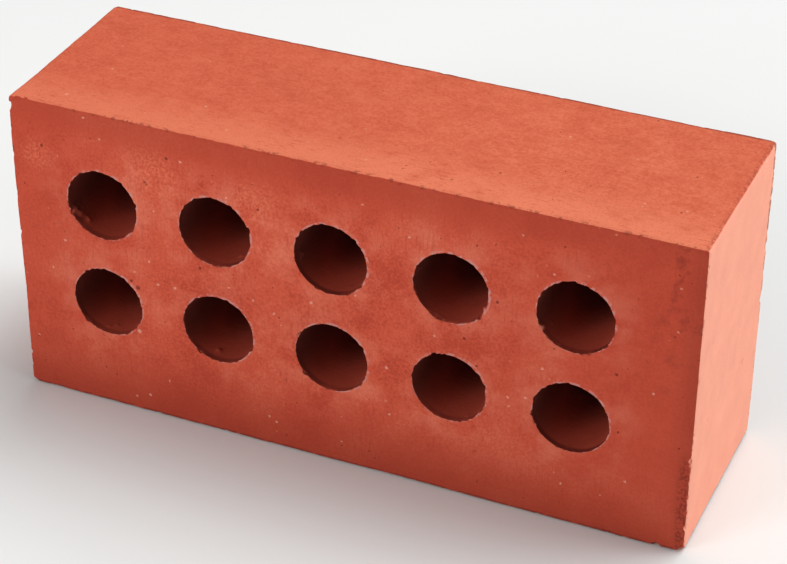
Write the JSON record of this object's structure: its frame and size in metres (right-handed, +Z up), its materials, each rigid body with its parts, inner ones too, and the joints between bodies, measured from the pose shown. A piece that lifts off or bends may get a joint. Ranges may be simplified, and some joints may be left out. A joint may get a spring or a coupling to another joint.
{
  "type": "perforated clay brick",
  "caption": "Wire-cut perforated red clay building brick with rows of round through holes for mortar keys, plain sides and worn edges, standing on its long narrow face.",
  "frame": {"origin": "on the floor under the middle of the brick", "axes": "+X along the brick's length, +Y along the holes, away from the holed face in view, +Z up"},
  "size_m": [0.215, 0.065, 0.1025],
  "materials": {
    "fired_clay": "matt fired red clay, torn a little by the cutting wire on the holed faces, smoother on the sides"
  },
  "bodies": {
    "root": {"brick": "fired_clay"}
  },
  "joints": []
}
